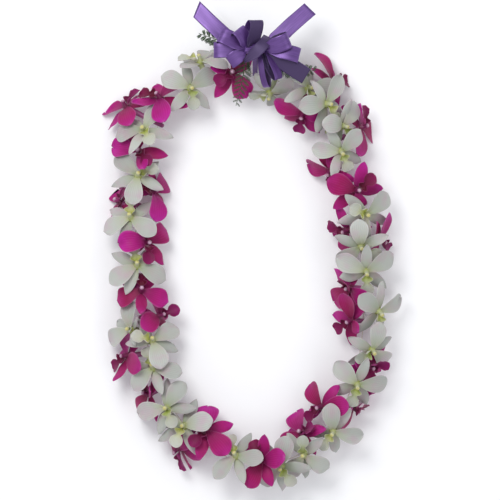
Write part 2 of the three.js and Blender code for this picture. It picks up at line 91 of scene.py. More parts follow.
def add(tree, kind, inputs=None, stops=(), out=None, **settings):
    """One more node with its settings, a ramp's stops, and its inputs set to a value or linked. It gives
    the output that is asked for, or else the first one in use."""
    made = tree.nodes.new(kind)
    for name, value in settings.items():
        setattr(made, name, value)
    for i, (at, colour) in enumerate(stops):
        elements = made.color_ramp.elements
        one = elements[i] if i < 2 else elements.new(at)
        one.position, one.color = at, linear(colour)
    for name, value in (inputs or {}).items():
        if isinstance(name, str):
            socket = next(s for s in made.inputs if s.name == name and s.enabled)
        else:
            socket = made.inputs[name]
        if isinstance(value, bpy.types.NodeSocket):
            tree.links.new(value, socket)
        else:
            socket.default_value = value
    return made.outputs[out] if out else next(o for o in made.outputs if o.enabled)


def material(name, values):
    made = bpy.data.materials.new(name)
    made.use_nodes = True
    surface = made.node_tree.nodes["Principled BSDF"]
    for key, value in values.items():
        surface.inputs[key].default_value = value
    return made, made.node_tree, surface


world = bpy.data.worlds.new("studio air")
world.use_nodes = True
world.node_tree.nodes["Background"].inputs["Color"].default_value = linear("#f7f9ff")
world.node_tree.nodes["Background"].inputs["Strength"].default_value = AIR_STRENGTH
scene.world = world
for name, (place, size, power) in LIGHTS.items():
    light = bpy.data.lights.new(name, "AREA")
    light.size = size
    light.energy = power
    lamp = shown(name, light)
    lamp.location = place
    lamp.rotation_euler = (-lamp.location).to_track_quat("-Z", "Y").to_euler()

floor_mesh = bpy.data.meshes.new("floor")
floor_corners = [(x * FLOOR_HALF, y * FLOOR_HALF, 0) for x, y in ((-1, -1), (1, -1), (1, 1), (-1, 1))]
floor_mesh.from_pydata(floor_corners, [], [(0, 1, 2, 3)])
floor = shown("floor", floor_mesh)
# Uncoated white paper, quite matt, so that it shows soft shadows and no highlight.
plain = {"Base Color": linear("#f6f6f6"), "Roughness": 1, "Specular IOR Level": 0}
floor_mesh.materials.append(material("white paper table", plain)[0])


# Thread
# One cotton string, three plies twisted, runs round the whole loop inside the flowers' necks and is
# knotted near the top. Its line is the lei's own line, which every bloom is placed from.
THREAD_Z = 22
# Half of the loop's width and length, in mm. It is a little square, and its top leans to the left.
LOOP_HALF = (117.4, 201.9)
LOOP_SQUARE, LOOP_LEAN, LOOP_POINTS = 0.018, 0.055, 720
# The string's radius and one turn of its plies, in mm, and the grooves' radius as a share of its own.
THREAD_RADIUS, PLY_TURN, PLY_GROOVE = 0.6, 4.0, 0.62
STRING_POINTS, STRING_STEP = 360, 0.7
KNOT_AT, KNOT_REACH, KNOT_POINTS = (244, 72), 1.3, 48


def dot(a, b):
    return float(np.dot(a, b))


def unit(v):
    return v / np.linalg.norm(v)


turns = np.pi / 2 - 2 * np.pi * np.arange(LOOP_POINTS + 1) / LOOP_POINTS
loop_y = LOOP_HALF[1] * (np.sin(turns) + LOOP_SQUARE * np.sin(3 * turns)) / (1 - LOOP_SQUARE)
loop_x = LOOP_HALF[0] * (np.cos(turns) - LOOP_SQUARE * np.cos(3 * turns)) / (1 - LOOP_SQUARE)
loop = np.stack(
    [loop_x - LOOP_LEAN * loop_y + SHIFT[0], loop_y + SHIFT[1], np.full(LOOP_POINTS + 1, THREAD_Z)], axis=1
)
lengths = np.concatenate([[0], np.cumsum(np.linalg.norm(np.diff(loop, axis=0), axis=1))])
ROUND = lengths[-1]


def along_loop(s):
    want = s - ROUND * math.floor(s / ROUND)
    i = min(max(int(np.searchsorted(lengths, want)), 1), LOOP_POINTS)
    share = (want - lengths[i - 1]) / (lengths[i] - lengths[i - 1])
    return loop[i - 1] + (loop[i] - loop[i - 1]) * share, unit(loop[i] - loop[i - 1])


def nearest_on_loop(p):
    return lengths[np.argmin(np.hypot(loop[:, 0] - p[0], loop[:, 1] - p[1]))]


def mesh_of(name, points, edges, faces, values):
    """A mesh from points in millimetres, with numbers or vectors for each point by name."""
    mesh = bpy.data.meshes.new(name)
    mesh.from_pydata((np.asarray(points) / 1000).tolist(), edges, faces)
    for key, each in values.items():
        each = np.asarray(each, np.float32)
        attribute = mesh.attributes.new(key, "FLOAT_VECTOR" if each.ndim == 2 else "FLOAT", "POINT")
        attribute.data.foreach_set("vector" if each.ndim == 2 else "value", each.ravel())
    return mesh


def piece(name, points, faces, materials, uv, values, face_material=None):
    """An object from points in millimetres, with a UV and other values for each point."""
    mesh = mesh_of(name, points, [], [tuple(f) for f in faces], values)
    for m in materials:
        mesh.materials.append(m)
    if face_material is not None:
        mesh.polygons.foreach_set("material_index", np.asarray(face_material, np.int32))
    corners = np.empty(len(mesh.loops), np.int32)
    mesh.loops.foreach_get("vertex_index", corners)
    layer = mesh.uv_layers.new(name="surface")
    layer.data.foreach_set("uv", np.asarray(uv, np.float32)[corners].ravel())
    mesh.shade_smooth()
    return shown(name, mesh)


def grown(name, points, edges, tree, inputs, values):
    """The mesh that a Geometry Nodes tree makes from points and edges, as a plain object."""
    line = shown(name + " line", mesh_of(name + " line", points, edges, [], values))
    modifier = line.modifiers.new("grown", "NODES")
    modifier.node_group = tree
    sockets = {s.name: s.identifier for s in tree.interface.items_tree if s.in_out == "INPUT"}
    for key, value in inputs.items():
        modifier[sockets[key]] = value
    graph = bpy.context.evaluated_depsgraph_get()
    mesh = bpy.data.meshes.new_from_object(line.evaluated_get(graph), depsgraph=graph)
    mesh.name = name
    line.modifiers.remove(modifier)
    bpy.data.objects.remove(line)
    mesh.shade_smooth()
    return shown(name, mesh)


def dress(made, node):
    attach(made, "root")
    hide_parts(node)


def new_tree(name, inputs):
    made = bpy.data.node_groups.new(name, "GeometryNodeTree")
    made.interface.new_socket("Geometry", in_out="INPUT", socket_type="NodeSocketGeometry")
    made.interface.new_socket("Geometry", in_out="OUTPUT", socket_type="NodeSocketGeometry")
    for key, kind in inputs.items():
        made.interface.new_socket(key, in_out="INPUT", socket_type="NodeSocket" + kind)
    return made, made.nodes.new("NodeGroupInput").outputs, made.nodes.new("NodeGroupOutput").inputs


# Twisted string: a three-lobed section swept along the line, turning as it goes.
asked = {"Radius": "Float", "Turn Length": "Float", "Step": "Float", "Material": "Material"}
strand, given, result = new_tree("twisted string", asked)
line = add(strand, "GeometryNodeMeshToCurve", {"Mesh": given["Geometry"]})
line = add(strand, "GeometryNodeResampleCurve", {"Curve": line, "Length": given["Step"]}, mode="LENGTH")
span = add(strand, "GeometryNodeSplineParameter", out="Length")
angle = add(strand, "ShaderNodeMath", {0: span, 1: given["Turn Length"]}, operation="DIVIDE")
angle = add(strand, "ShaderNodeMath", {0: angle, 1: 2 * math.pi}, operation="MULTIPLY")
line = add(strand, "GeometryNodeSetCurveTilt", {"Curve": line, "Tilt": angle})
inner = add(strand, "ShaderNodeMath", {0: given["Radius"], 1: PLY_GROOVE}, operation="MULTIPLY")
star = {"Points": 3, "Inner Radius": inner, "Outer Radius": given["Radius"]}
star = add(strand, "GeometryNodeCurveStar", star)
body = add(strand, "GeometryNodeCurveToMesh", {"Curve": line, "Profile Curve": star, "Fill Caps": True})
body = add(strand, "GeometryNodeRealizeInstances", {"Geometry": body})
body = add(strand, "GeometryNodeSetMaterial", {"Geometry": body, "Material": given["Material"]})
strand.links.new(body, result["Geometry"])

# Cotton string, spun and unbleached: off-white and quite dull. Its fibres, which only soften it, are
# drawn half a millimetre apart, so that they show.
cotton, tree, surface = material("spun cotton string", {"Roughness": 0.9, "Sheen Weight": 0.3})
place = add(tree, "ShaderNodeTexCoord", out="Object")
fibres = add(tree, "ShaderNodeTexNoise", {"Vector": place, "Scale": 1800.0, "Detail": 3.0})
dim, pale = linear("#d9d0bb"), linear("#f0ebde")
colour = add(tree, "ShaderNodeMix", {"Factor": fibres, "A": dim, "B": pale}, data_type="RGBA")
tree.links.new(colour, surface.inputs["Base Color"])

knot_s = nearest_on_loop(placed(*KNOT_AT, THREAD_Z))
string = [along_loop(knot_s + ROUND * i / STRING_POINTS)[0] for i in range(STRING_POINTS)]
# The knot's line is a trefoil, which reaches 3 from its middle before it is made smaller.
wound = 2 * np.pi * np.arange(KNOT_POINTS) / KNOT_POINTS
knot = np.stack(
    [np.sin(wound) + 2 * np.sin(2 * wound), np.cos(wound) - 2 * np.cos(2 * wound), -np.sin(3 * wound)], axis=1
)
knot = along_loop(knot_s)[0] + knot * KNOT_REACH / 3
rings = [(i, (i + 1) % STRING_POINTS) for i in range(STRING_POINTS)]
rings += [(STRING_POINTS + i, STRING_POINTS + (i + 1) % KNOT_POINTS) for i in range(KNOT_POINTS)]
spun = {
    "Radius": THREAD_RADIUS / 1000,
    "Turn Length": ROUND / round(ROUND / PLY_TURN) / 1000,
    "Step": STRING_STEP / 1000,
    "Material": cotton,
}
thread = grown("cotton_thread", [*string, *knot], rings, strand, spun, {})
dress(thread, "thread")


# Ribbon bow
# One length of satin ribbon, 17 mm wide, folded into ten loops with two cut tails. It is pleated
# together at the waist, where the tie holds it, and its last turn arches over the tie and hides it.
WAIST_AT, WAIST_RADIUS = (255, 50, 62), 5.4
# The ribbon's width and thickness in mm, the share of its width that the waist leaves, and half of the
# gap between a loop's two ends, in mm.
RIBBON_WIDE, RIBBON_THICK, RIBBON_PINCH, RIBBON_PART = 17, 0.34, 0.32, 0.6
RIBBON_COLUMNS, PLEAT, PLEATS, RIPPLE_LONG = 12, 1.1, 3, 9
LOOP_STEPS, LOOP_INSET, LOOP_RIPPLE, LOOP_FLARE = 44, 0.03, 0.35, 1.5
TAIL_STEPS, TAIL_SHARE, TAIL_RIPPLE, TAIL_FLARE = 30, 0.97, 0.4, 2.2
TURN_SHARE, TURN_RIPPLE = 0.72, 0.5
# The turns of the ribbon whose upper side takes the back's darker, dull colour, as painted shade where they
# lie in shade: two loops and the last turn.
PAINTED_SHADE_TURNS = (4, 7, 12)
# Each loop: far end, how far it opens, how its width lies, its share of the width, where it starts.
LOOPS = [
    ((220, 36, 69), 13, 16, 1, -8.5),
    ((214, 51, 64), 10, -4, 0.95, -9),
    ((229, 63, 64), 9, -12, 0.9, -9.5),
    ((238, 31, 74), 12, 30, 0.95, -8.5),
    ((256, 22, 76), 11, 40, 1, -7.5),
    ((289, 41, 72), 14, 12, 1, 8),
    ((299, 57, 66), 11, -16, 0.95, 9.5),
    ((306, 77, 59), 7, 8, 1, 9),
    ((267, 88, 60), 7, 52, 0.6, 5.5),
    ((278, 80, 64), 8, -50, 0.7, 8.5),
]
# Each tail, and the last turn: its route, how its width lies, and how far its end is cut aslant.
TAILS = [
    ([(246, 50, 58.6), (232, 42, 57), (215, 27.5, 55), (196.6, 9.8, 52)], 6, -0.21),
    ([(264, 48, 58.6), (276, 40, 57), (291, 26, 55), (310, 9.4, 52)], -8, -0.03),
]
LAST_TURN = ([(244, 62, 65.5), (252, 56.5, 70.5), (260, 49, 73), (266, 42, 68), (269, 38, 60)], -14, 0)
UP = vec(0, 0, 1)
waist = placed(*WAIST_AT)


def across(along, lay):
    flat = unit(np.cross(UP, along))
    return flat * math.cos(math.radians(lay)) + np.cross(along, flat) * math.sin(math.radians(lay))


def loop_stations(to, opening, lay, share, start_x, count):
    start = waist + vec(start_x, 0, 0)
    reach = placed(*to) - start
    along = unit(reach)
    width = across(along, lay)
    way = np.cross(along, width)
    made = []
    for i in range(count):
        t = LOOP_INSET + (1 - 2 * LOOP_INSET) * i / (count - 1)
        rounded = math.sin(math.pi * t)
        bulge = opening / 2 * math.sin(2 * math.pi * t) * rounded**0.6
        apart = RIBBON_PART * math.cos(math.pi * t)
        at = start + along * np.linalg.norm(reach) * rounded**2 + way * (bulge + apart)
        spread = min(1, RIBBON_PINCH + LOOP_FLARE * rounded**2)
        made.append((at, width, RIBBON_WIDE * share * spread, 0, spread))
    return made


class Curve:
    """A centripetal Catmull-Rom curve through a few points."""

    def __init__(self, points):
        self.points = [placed(*p) for p in points]

    def at(self, t):
        p = self.points
        far = (len(p) - 1) * t
        i = min(int(far), len(p) - 2)
        weight = far - i
        before = p[i - 1] if i > 0 else 2 * p[0] - p[1]
        after = p[i + 2] if i + 2 < len(p) else 2 * p[-1] - p[-2]
        near = [before, p[i], p[i + 1], after]
        d0, d1, d2 = [dot(b - a, b - a) ** 0.25 for a, b in zip(near, near[1:])]
        a, b, c, d = near
        m1 = ((b - a) / d0 - (c - a) / (d0 + d1) + (c - b) / d1) * d1
        m2 = ((c - b) / d1 - (d - b) / (d1 + d2) + (d - c) / d2) * d1
        return b + m1 * weight + (3 * (c - b) - 2 * m1 - m2) * weight**2 + (2 * (b - c) + m1 + m2) * weight**3

    def tangent(self, t):
        return unit(self.at(min(1, t + 0.0001)) - self.at(max(0, t - 0.0001)))


def tail_stations(route, lay, slant, count, share=TAIL_SHARE):
    curve = Curve(route)
    made = []
    for i in range(count):
        t = i / (count - 1)
        spread = min(1, RIBBON_PINCH + TAIL_FLARE * t)
        width = across(curve.tangent(t), lay)
        made.append((curve.at(t), width, RIBBON_WIDE * share * spread, slant * max(0, 4 * t - 3), spread))
    return made


def strip(stations, thick, columns, pleat, ripple, closed=False):
    """A thin closed strip of ribbon through stations: points, faces, UV in mm, and its length."""
    at, width, *rest = [np.array(column) for column in zip(*stations)]
    wide, slant, spread = [column[:, None, None] for column in rest]
    n = len(stations)
    if closed:
        along = np.roll(at, -1, axis=0) - np.roll(at, 1, axis=0)
    else:
        along = np.gradient(at, axis=0)
    along /= np.linalg.norm(along, axis=1)[:, None]
    face = np.cross(width, along)
    face /= np.linalg.norm(face, axis=1)[:, None]
    k = np.linspace(-0.5, 0.5, columns + 1)[None, :, None]
    run = np.concatenate([[0], np.cumsum(np.linalg.norm(np.diff(at, axis=0), axis=1))])
    fold = pleat * np.clip(1 - spread, 0, 1) ** 1.5 * np.cos(2 * np.pi * PLEATS * k)
    wave = ripple * np.sin(run[:, None, None] / RIPPLE_LONG + 3 * k) * (2 * k) ** 2
    sheet = at[:, None] + width[:, None] * k * wide + along[:, None] * 2 * k * slant * wide
    sheet = sheet + face[:, None] * (fold + wave)
    over = np.gradient(sheet, axis=0)
    side = np.gradient(sheet, axis=1)
    out = np.cross(side, over)
    out /= np.linalg.norm(out, axis=2)[..., None]
    off = out * thick / 2
    points = np.concatenate([(sheet - off).reshape(-1, 3), (sheet + off).reshape(-1, 3)])
    uv = np.stack(np.broadcast_arrays(run[:, None], (k[..., 0] + 0.5) * wide[..., 0]), axis=-1)
    half, c = n * (columns + 1), columns + 1
    faces = []
    for i in range(n if closed else n - 1):
        a, b = i * c, (i + 1) % n * c
        for j in range(columns):
            faces.append((a + j, b + j, b + j + 1, a + j + 1))
            faces.append((half + a + j, half + a + j + 1, half + b + j + 1, half + b + j))
        faces.append((a, half + a, half + b, b))
        faces.append((a + columns, b + columns, half + b + columns, half + a + columns))
    if not closed:
        z = (n - 1) * c
        for j in range(columns):
            faces.append((j, j + 1, half + j + 1, half + j))
            faces.append((z + j, half + z + j, half + z + j + 1, z + j + 1))
    return points, faces, np.concatenate([uv.reshape(-1, 2)] * 2), run[-1]


def tube_faces(rings, sides):
    """The faces of a tube of rings of points, capped at both ends."""
    faces = [
        (i * sides + j, i * sides + (j + 1) % sides, (i + 1) * sides + (j + 1) % sides, (i + 1) * sides + j)
        for i in range(rings - 1)
        for j in range(sides)
    ]
    return faces + [tuple(range(sides))[::-1], tuple((rings - 1) * sides + j for j in range(sides))]


def joined(parts):
    """Several lots of (points, faces, uv) as one."""
    points, faces, uv, before = [], [], [], 0
    for part in parts:
        points.append(part[0])
        faces += [tuple(before + i for i in f) for f in part[1]]
        uv.append(part[2])
        before += len(part[0])
    return np.concatenate(points), faces, np.concatenate(uv)


# Single-face polyester satin: the face is smooth and almost metallic, because its long warp floats throw the
# light back in streaks, and the back is dull. The streaks are painted sheen, lighter and darker purple along
# the run with faint ridges. They are drawn 20 mm long and 0.8 mm wide, coarser than the warp, so that they
# show, and so is the weft, in mm. The back is painted darker, partly for its dullness and partly as painted
# shade where it is turned up.
WEFT_PITCH = 0.9
sheen = {"Sheen Weight": 0.1, "Sheen Tint": linear("#b48be0")}
shine = {"Metallic": 0.5, "Specular IOR Level": 0.9, "Anisotropic": 0.5, **sheen}
satin, tree, surface = material("purple satin ribbon", shine)
run = add(tree, "ShaderNodeUVMap", uv_map="surface")
split = add(tree, "ShaderNodeSeparateXYZ", {"Vector": run})
weft_turn = 2 * math.pi / WEFT_PITCH
weft = add(tree, "ShaderNodeMath", {0: split, 1: weft_turn}, operation="MULTIPLY")
weft = add(tree, "ShaderNodeMath", {0: weft}, operation="SINE")
stretched = add(tree, "ShaderNodeMapping", {"Vector": run, "Scale": (0.05, 1.3, 1)})
streaks = add(tree, "ShaderNodeTexNoise", {"Vector": stretched, "Scale": 1.0, "Detail": 4.0})
# Painted sheen: the streaks lighten and darken the purple along the run.
colour = add(tree, "ShaderNodeValToRGB", {"Fac": streaks}, [(0.3, "#523474"), (0.7, "#6e4a92")])
# The back's darker purple is partly its own dull colour and partly painted shade, where it is turned up.
back = add(tree, "ShaderNodeAttribute", attribute_name="back", out="Fac")
colour = add(tree, "ShaderNodeMix", {"Factor": back, "A": colour, "B": linear("#402e58")}, data_type="RGBA")
tree.links.new(colour, surface.inputs["Base Color"])
dull = add(tree, "ShaderNodeMapRange", {"Value": back, "To Min": 0.36, "To Max": 0.6})
tree.links.new(dull, surface.inputs["Roughness"])
height = add(tree, "ShaderNodeMath", {0: weft, 1: 0.1, 2: streaks}, operation="MULTIPLY_ADD")
bump = add(tree, "ShaderNodeBump", {"Height": height, "Strength": 0.1, "Distance": 0.0001})
tree.links.new(bump, surface.inputs["Normal"])

ways = [(loop_stations(*one, LOOP_STEPS), LOOP_RIPPLE) for one in LOOPS]
ways += [(tail_stations(*one, TAIL_STEPS), TAIL_RIPPLE) for one in TAILS]
ways.append((tail_stations(*LAST_TURN, TAIL_STEPS, TURN_SHARE), TURN_RIPPLE))
strips = [strip(stations, RIBBON_THICK, RIBBON_COLUMNS, PLEAT, ripple) for stations, ripple in ways]
# The pleated waist: the same ribbon gathered round itself, narrowest under the tie.
BUNDLE_RINGS, BUNDLE_SIDES, BUNDLE_HALF = 13, 36, 10.6
BUNDLE_RADIUS, BUNDLE_FLARE, FOLDS, FOLD_DEEP = 4.3, 0.7, 9, 0.07
BUNDLE_CELL = (1.8, 0.9)
girth = []
for i in range(BUNDLE_RINGS):
    x = 2 * i / (BUNDLE_RINGS - 1) - 1
    for j in range(BUNDLE_SIDES):
        a = 2 * np.pi * j / BUNDLE_SIDES
        radius = (BUNDLE_RADIUS + BUNDLE_FLARE * x * x) * (1 + FOLD_DEEP * math.cos(FOLDS * a + 2 * x))
        girth.append(waist + vec(x * BUNDLE_HALF, radius * math.sin(a), radius * math.cos(a)))
bundle_faces = [face[::-1] for face in tube_faces(BUNDLE_RINGS, BUNDLE_SIDES)]
bundle_uv = np.indices((BUNDLE_RINGS, BUNDLE_SIDES)).reshape(2, -1).T * BUNDLE_CELL
points, faces, uv = joined([*(s[:3] for s in strips), (np.array(girth), bundle_faces, bundle_uv)])
# The painted-shade turns take the dark back colour on their upper side.
backs = [np.repeat([1, 0] if i in PAINTED_SHADE_TURNS else [0, 1], len(s[0]) // 2) for i, s in enumerate(strips)]
backs = np.concatenate([*backs, np.zeros(len(girth))])
bow = piece("satin_ribbon_bow", points, faces, [satin], uv, {"back": backs})
dress(bow, "ribbon_bow")


# Ribbon tie
# A narrow strip of the same satin goes round the bow's waist and down round the thread, and pulls the
# two together.
TIE_WIDE, TIE_THICK, TIE_GAP, TIE_SLACK, TIE_MIDDLE = 5.2, 0.5, 0.45, 0.6, 0.35
TIE_COLUMNS, TIE_PLEAT, TIE_SPREAD = 8, 0.9, 0.75
top_half = loop[loop[:, 1] > 0]
tie_foot = top_half[np.argmin(np.abs(top_half[:, 0] - waist[0]))]
SIDE_X = vec(1, 0, 0)
tie_up = unit(waist - tie_foot)
tie_side = np.cross(SIDE_X, tie_up)
belt = []
for centre, radius, start, stop, count in [
    (waist, WAIST_RADIUS + TIE_GAP + TIE_MIDDLE, -96, 96, 24),
    (tie_foot, THREAD_RADIUS + TIE_GAP + TIE_SLACK + TIE_MIDDLE, 100, 260, 12),
]:
    for i in range(count + 1):
        a = math.radians(start + (stop - start) * i / count)
        belt.append(centre + tie_side * radius * math.sin(a) + tie_up * radius * math.cos(a))
belt = [(p, SIDE_X, TIE_WIDE, 0, TIE_SPREAD) for p in belt]
points, faces, uv, _ = strip(belt, TIE_THICK, TIE_COLUMNS, TIE_PLEAT, 0, closed=True)
tie = piece("satin_ribbon_tie", points, faces, [satin], uv, {"back": np.zeros(len(points))})
dress(tie, "ribbon_tie")


# Fern sprigs
# Three tips of green fern are tucked under the bow, one to each side and one toward the hole. Each is
# a thin stem with pairs of leaflets, and each leaflet is itself cut into narrow fingers.
# Each sprig: its stem's route, its longest leaflet in mm, and a finger's length as a share of a leaflet.
FERNS = {
    "fern_left": ([(265, 55.5, 55.35), (247, 54, 55.35), (224, 43, 52.5), (199, 34, 51)], 11, 0.5),
    "fern_low": ([(264, 56, 53.5), (248, 58.5, 53.2), (242, 82, 50.5), (236, 106, 49)], 10, 0.32),
    "fern_right": ([(246, 57.5, 51.3), (266, 60, 51.3), (290, 71, 49.6), (316, 71, 49.5)], 11, 0.42),
}
STEM_RADIUS, STEM_AT, STEM_TAPER = 0.64, (0, 0.22, 0.42, 0.62, 0.81, 1), 0.5
STEM_STEPS, STEM_SIDES = 24, 7
# The solids have five pairs of leaflets, and the petals keep clear of those.
SOLID_PAIRS, LEAF_PAIRS, LEAF_FROM, LEAF_TO = 5, 11, 0.3, 0.94
FINGER_PAIRS, FINGER_SHAPE, FINGER_TURN = 8, (1, 0.2, 0.12), math.radians(40)
# How long a finger is along its leaflet, as points of a curve.
FINGER_LONG = [(0, 0.45), (0.35, 1), (1, 0.3)]
RIB_RADIUS, RIB_LONG = 0.028, 1.02


def leaf_at(curve, leaf, t, side):
    stem = [curve.at(a) for a in STEM_AT]
    k = len([a for a in STEM_AT if a <= t + 0.02 * side]) - 1
    share = (t + 0.02 * side - STEM_AT[k]) / (STEM_AT[k + 1] - STEM_AT[k])
    along = curve.tangent(t)
    out = unit(unit(np.cross(UP, along)) * side + along * 0.75 + UP * 0.12)
    long = leaf * math.sin(math.pi * (0.24 + 0.68 * t)) ** 0.7
    return stem[k] + (stem[k + 1] - stem[k]) * share, out, long


fern_curves = {name: Curve(route) for name, (route, _, _) in FERNS.items()}

# A leaflet: fingers in pairs along a thin rib, longest at its middle. A sprig: that leaflet at each
# marked point of its stem, turned and sized as the point says.
asked = {"Finger Pairs": "Int", "Finger Length": "Float", "Stem Side": "Int", "Material": "Material"}
sprig, given, result = new_tree("fern sprig", asked)
ends = {"Start Location": (0.08, 0, 0), "Offset": (0.9, 0, 0)}
ribs = add(sprig, "GeometryNodeMeshLine", {"Count": given["Finger Pairs"], **ends}, mode="END_POINTS")
blade = add(sprig, "GeometryNodeMeshUVSphere", {"Segments": 6, "Rings": 4, "Radius": 0.5})
laid = {"Rotation": (0, math.pi / 2, 0), "Translation": (0.46, 0, 0)}
blade = add(sprig, "GeometryNodeTransform", {"Geometry": blade, **laid})
blade = add(sprig, "GeometryNodeTransform", {"Geometry": blade, "Scale": FINGER_SHAPE})
where = add(sprig, "GeometryNodeInputPosition")
where = add(sprig, "ShaderNodeSeparateXYZ", {"Vector": where})
shape = add(sprig, "ShaderNodeFloatCurve", {"Value": where})
for i, (x, y) in enumerate(FINGER_LONG):
    curve = shape.node.mapping.curves[0]
    if i < 2:
        curve.points[i].location = (x, y)
    else:
        curve.points.new(x, y)
shape.node.mapping.update()
size = {0: shape, 1: given["Finger Length"]}
size = add(sprig, "ShaderNodeMath", size, operation="MULTIPLY")
rib = add(sprig, "GeometryNodeCurvePrimitiveLine", {"Start": (0, 0, 0), "End": (RIB_LONG, 0, 0)})
ring = add(sprig, "GeometryNodeCurvePrimitiveCircle", {"Resolution": 4, "Radius": RIB_RADIUS})
swept = {"Curve": rib, "Profile Curve": ring, "Fill Caps": True}
sources = [add(sprig, "GeometryNodeCurveToMesh", swept)]
for turn in (-1, 1):
    fingers = {"Points": ribs, "Instance": blade, "Rotation": (0, 0, turn * FINGER_TURN), "Scale": size}
    sources.append(add(sprig, "GeometryNodeInstanceOnPoints", fingers))
leaflet = sprig.nodes.new("GeometryNodeJoinGeometry")
for source in sources:
    sprig.links.new(source, leaflet.inputs["Geometry"])
leaflet = add(sprig, "GeometryNodeRealizeInstances", {"Geometry": leaflet.outputs["Geometry"]})
marks, girth_of, out_way = [
    add(sprig, "GeometryNodeInputNamedAttribute", {"Name": name}, data_type=kind)
    for name, kind in [("leaf size", "FLOAT"), ("girth", "FLOAT"), ("leaf way", "FLOAT_VECTOR")]
]
has_size = {"data_type": "FLOAT", "operation": "GREATER_THAN"}
is_leaf = add(sprig, "FunctionNodeCompare", {"A": marks, "B": 0.0}, **has_size)
faced = add(sprig, "FunctionNodeAlignRotationToVector", {"Vector": out_way}, axis="X")
level = {"Rotation": faced, "Vector": (0, 0, 1)}
faced = add(sprig, "FunctionNodeAlignRotationToVector", level, axis="Z", pivot_axis="X")
grown_at = {"Points": given["Geometry"], "Selection": is_leaf}
leaf_as = {"Instance": leaflet, "Rotation": faced, "Scale": marks}
leaves = add(sprig, "GeometryNodeInstanceOnPoints", {**grown_at, **leaf_as})
stem = add(sprig, "GeometryNodeMeshToCurve", {"Mesh": given["Geometry"]})
stem = add(sprig, "GeometryNodeSetCurveRadius", {"Curve": stem, "Radius": girth_of})
ring = {"Resolution": given["Stem Side"], "Radius": 1.0}
ring = add(sprig, "GeometryNodeCurvePrimitiveCircle", ring)
swept = {"Curve": stem, "Profile Curve": ring, "Scale": girth_of, "Fill Caps": True}
stem = add(sprig, "GeometryNodeCurveToMesh", swept)
whole = sprig.nodes.new("GeometryNodeJoinGeometry")
for source in (leaves, stem):
    sprig.links.new(source, whole.inputs["Geometry"])
body = add(sprig, "GeometryNodeRealizeInstances", {"Geometry": whole.outputs["Geometry"]})
body = add(sprig, "GeometryNodeSetMaterial", {"Geometry": body, "Material": given["Material"]})
sprig.links.new(body, result["Geometry"])

# Fern leaf: a deep green with a waxy, uneven surface, a little yellower in patches 4 to 5 mm wide.
waxy = {"Roughness": 0.5, "Subsurface Weight": 0.1, "Subsurface Radius": (0.001, 0.002, 0.0005)}
frond, tree, surface = material("green fern leaf", waxy)
place = add(tree, "ShaderNodeTexCoord", out="Object")
patches = add(tree, "ShaderNodeTexNoise", {"Vector": place, "Scale": 220.0, "Detail": 3.0})
colour = add(tree, "ShaderNodeValToRGB", {"Fac": patches}, [(0.32, "#172b15"), (0.72, "#38522a")])
tree.links.new(colour, surface.inputs["Base Color"])

for name, (_, leaf, fingers) in FERNS.items():
    curve = fern_curves[name]
    steps = range(STEM_STEPS + 1)
    points = [curve.at(i / STEM_STEPS) for i in steps]
    girths = [STEM_RADIUS * (1 - STEM_TAPER * i / STEM_STEPS) / 1000 for i in steps]
    sizes, ways = [0] * len(steps), [(0, 0, 0)] * len(steps)
    for t in np.linspace(LEAF_FROM, LEAF_TO, LEAF_PAIRS):
        for side in (-1, 1):
            at, out, long = leaf_at(curve, leaf, t, side)
            points.append(at)
            girths.append(0)
            sizes.append(long / 1000)
            ways.append(tuple(out))
    edges = [(i, i + 1) for i in range(STEM_STEPS)]
    leafy = {"Finger Pairs": FINGER_PAIRS, "Finger Length": fingers, "Stem Side": STEM_SIDES}
    marks = {"leaf size": sizes, "leaf way": ways, "girth": girths}
    made = grown("fern_sprig" + name[4:], points, edges, sprig, {**leafy, "Material": frond}, marks)
    dress(made, name)


# Orchid blooms
# Each is one dendrobium flower: three narrow sepals behind, two broad petals, a lip rolled up at its
# sides, and the column and neck in one. The thread goes through the neck. They face out and up all
# round the thread, each leaning along it, and every petal takes the calmest pose that keeps it clear.
# Each bloom: where its throat is in the photo, how far over the thread, and a white one's roll.
WHITE = [
    (190, 88, 14, 125), (308, 88, 12, 60), (326, 104, 14, 95), (342, 126, 11, 120), (341, 151, 14, 138),
    (366, 214, 14, 0), (361, 246, 13, 170), (366, 271, 14, 90), (378, 311, 12, 90), (372, 350, 13, 0),
    (357, 384, 14, 70), (333, 431, 14, 25), (304, 455, 13, 277), (281, 466, 14, 103), (236, 456, 14, 270),
    (184, 426, 13, 76), (167, 408, 14, 114), (153, 368, 14, 277), (152, 341, 13, -40), (131, 330, 12, 150),
    (137, 266, 14, 254), (131, 218, 13, 270), (138, 176, 14, 200), (144, 130, 14, 110), (200, 62, 5, 60),
    (270, 92, 4, 300),
]
MAGENTA = [
    (232, 72, 10), (306, 110, 4), (332, 80, -5), (361, 127, -5), (331, 170, 4), (356, 190, 11),
    (349, 230, 4), (379, 240, -3), (351, 288, 5), (352, 320, 7), (368, 366, 6), (353, 407, -8),
    (322, 407, 11), (303, 434, 3), (262, 461, 12), (206, 431, 13), (180, 449, -8), (149, 394, 2),
    (128, 356, 0), (158, 317, 3), (141, 291, 12), (146, 243, 10), (120, 203, -6), (152, 192, 2),
    (142, 152, 6), (126, 107, -7), (160, 98, 3),
]
# How far each kind is turned up to the sky, and how far its throat is from the thread at least.
SKY = {"white": 0.3, "magenta": 0.75}
LEAST_REACH = {"white": 10, "magenta": 13}
LEAN, LEAST_SIZE, SIZE_SPREAD = 0.42, 0.98, 0.12
GOLDEN_ANGLE, GOLDEN_SHARE, RUFFLE_STEP = 137.508, 0.618034, 2.4
